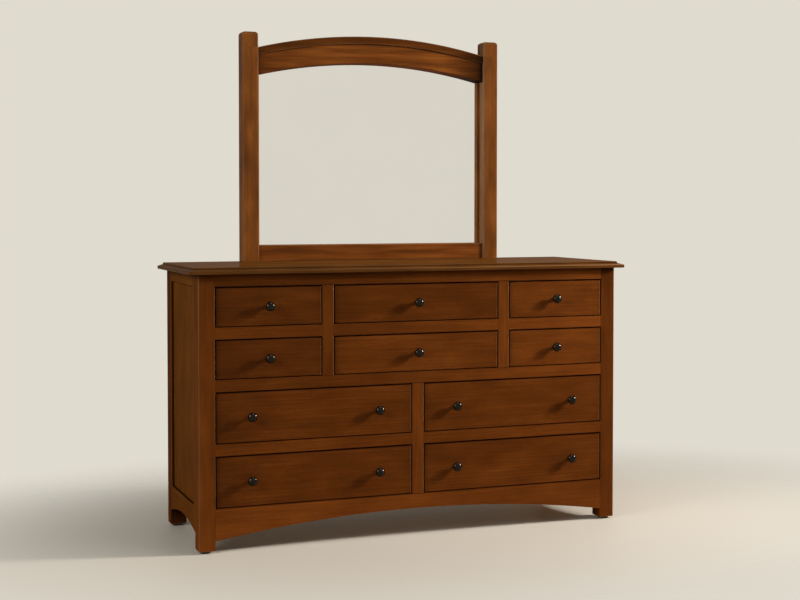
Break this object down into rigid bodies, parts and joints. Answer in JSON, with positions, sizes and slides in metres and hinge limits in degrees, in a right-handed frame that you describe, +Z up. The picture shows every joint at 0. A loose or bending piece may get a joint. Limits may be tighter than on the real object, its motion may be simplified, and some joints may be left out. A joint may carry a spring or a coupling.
{
  "type": "dresser with mirror",
  "caption": "Wide wooden dresser with inset drawers, mushroom knobs, frame and panel sides and an arched apron, with a fixed arched mirror between two posts on its top.",
  "frame": {"origin": "on the floor, under the middle of the object's width and depth", "axes": "+Z up, +X to the right of someone facing the drawers, the drawers open towards -Y"},
  "size_m": [1.648, 0.5556, 1.8166],
  "materials": {
    "case_wood": "reddish brown stain under a satin lacquer",
    "drawer_front_wood": "reddish brown stain under a satin lacquer",
    "inner_wood": "bare light hardwood, waxed",
    "back_board_wood": "plain plywood, thinly stained",
    "mirror_glass": "silvered flat glass",
    "knob_metal": "dark oil rubbed bronze, glossy"
  },
  "bodies": {
    "case_and_mirror": {"front_left_leg": "case_wood", "front_right_leg": "case_wood", "back_left_leg": "case_wood", "back_right_leg": "case_wood", "face_top_rail": "case_wood", "upper_face_rail": "case_wood", "middle_face_rail": "case_wood", "left_face_stile": "case_wood", "right_face_stile": "case_wood", "lower_face_rail": "case_wood", "centre_face_stile": "case_wood", "front_apron": "case_wood", "left_side_panel": "case_wood", "right_side_panel": "case_wood", "back_panel": "back_board_wood", "dresser_top": "case_wood", "mirror_left_post": "case_wood", "mirror_right_post": "case_wood", "mirror_top_rail": "case_wood", "mirror_bottom_rail": "case_wood", "mirror_glass": "mirror_glass", "mirror_back_board": "back_board_wood", "top_row_dust_board": "inner_wood", "second_row_dust_board": "inner_wood", "third_row_dust_board": "inner_wood", "bottom_row_dust_board": "inner_wood"},
    "top_left_drawer": {"top_left_drawer_front": "drawer_front_wood", "top_left_drawer_box": "inner_wood", "top_left_drawer_knob": "knob_metal"},
    "top_middle_drawer": {"top_middle_drawer_front": "drawer_front_wood", "top_middle_drawer_box": "inner_wood", "top_middle_drawer_knob": "knob_metal"},
    "top_right_drawer": {"top_right_drawer_front": "drawer_front_wood", "top_right_drawer_box": "inner_wood", "top_right_drawer_knob": "knob_metal"},
    "second_left_drawer": {"second_left_drawer_front": "drawer_front_wood", "second_left_drawer_box": "inner_wood", "second_left_drawer_knob": "knob_metal"},
    "second_middle_drawer": {"second_middle_drawer_front": "drawer_front_wood", "second_middle_drawer_box": "inner_wood", "second_middle_drawer_knob": "knob_metal"},
    "second_right_drawer": {"second_right_drawer_front": "drawer_front_wood", "second_right_drawer_box": "inner_wood", "second_right_drawer_knob": "knob_metal"},
    "third_left_drawer": {"third_left_drawer_front": "drawer_front_wood", "third_left_drawer_box": "inner_wood", "third_left_drawer_left_knob": "knob_metal", "third_left_drawer_right_knob": "knob_metal"},
    "third_right_drawer": {"third_right_drawer_front": "drawer_front_wood", "third_right_drawer_box": "inner_wood", "third_right_drawer_left_knob": "knob_metal", "third_right_drawer_right_knob": "knob_metal"},
    "bottom_left_drawer": {"bottom_left_drawer_front": "drawer_front_wood", "bottom_left_drawer_box": "inner_wood", "bottom_left_drawer_left_knob": "knob_metal", "bottom_left_drawer_right_knob": "knob_metal"},
    "bottom_right_drawer": {"bottom_right_drawer_front": "drawer_front_wood", "bottom_right_drawer_box": "inner_wood", "bottom_right_drawer_left_knob": "knob_metal", "bottom_right_drawer_right_knob": "knob_metal"}
  },
  "joints": [
    {"name": "top_left_drawer_slide", "type": "slide", "parent": "case_and_mirror", "child": "top_left_drawer", "axis": [0, -1, 0], "range_m": [0, 0.35]},
    {"name": "top_middle_drawer_slide", "type": "slide", "parent": "case_and_mirror", "child": "top_middle_drawer", "axis": [0, -1, 0], "range_m": [0, 0.35]},
    {"name": "top_right_drawer_slide", "type": "slide", "parent": "case_and_mirror", "child": "top_right_drawer", "axis": [0, -1, 0], "range_m": [0, 0.35]},
    {"name": "second_left_drawer_slide", "type": "slide", "parent": "case_and_mirror", "child": "second_left_drawer", "axis": [0, -1, 0], "range_m": [0, 0.35]},
    {"name": "second_middle_drawer_slide", "type": "slide", "parent": "case_and_mirror", "child": "second_middle_drawer", "axis": [0, -1, 0], "range_m": [0, 0.35]},
    {"name": "second_right_drawer_slide", "type": "slide", "parent": "case_and_mirror", "child": "second_right_drawer", "axis": [0, -1, 0], "range_m": [0, 0.35]},
    {"name": "third_left_drawer_slide", "type": "slide", "parent": "case_and_mirror", "child": "third_left_drawer", "axis": [0, -1, 0], "range_m": [0, 0.35]},
    {"name": "third_right_drawer_slide", "type": "slide", "parent": "case_and_mirror", "child": "third_right_drawer", "axis": [0, -1, 0], "range_m": [0, 0.35]},
    {"name": "bottom_left_drawer_slide", "type": "slide", "parent": "case_and_mirror", "child": "bottom_left_drawer", "axis": [0, -1, 0], "range_m": [0, 0.35]},
    {"name": "bottom_right_drawer_slide", "type": "slide", "parent": "case_and_mirror", "child": "bottom_right_drawer", "axis": [0, -1, 0], "range_m": [0, 0.35]}
  ]
}
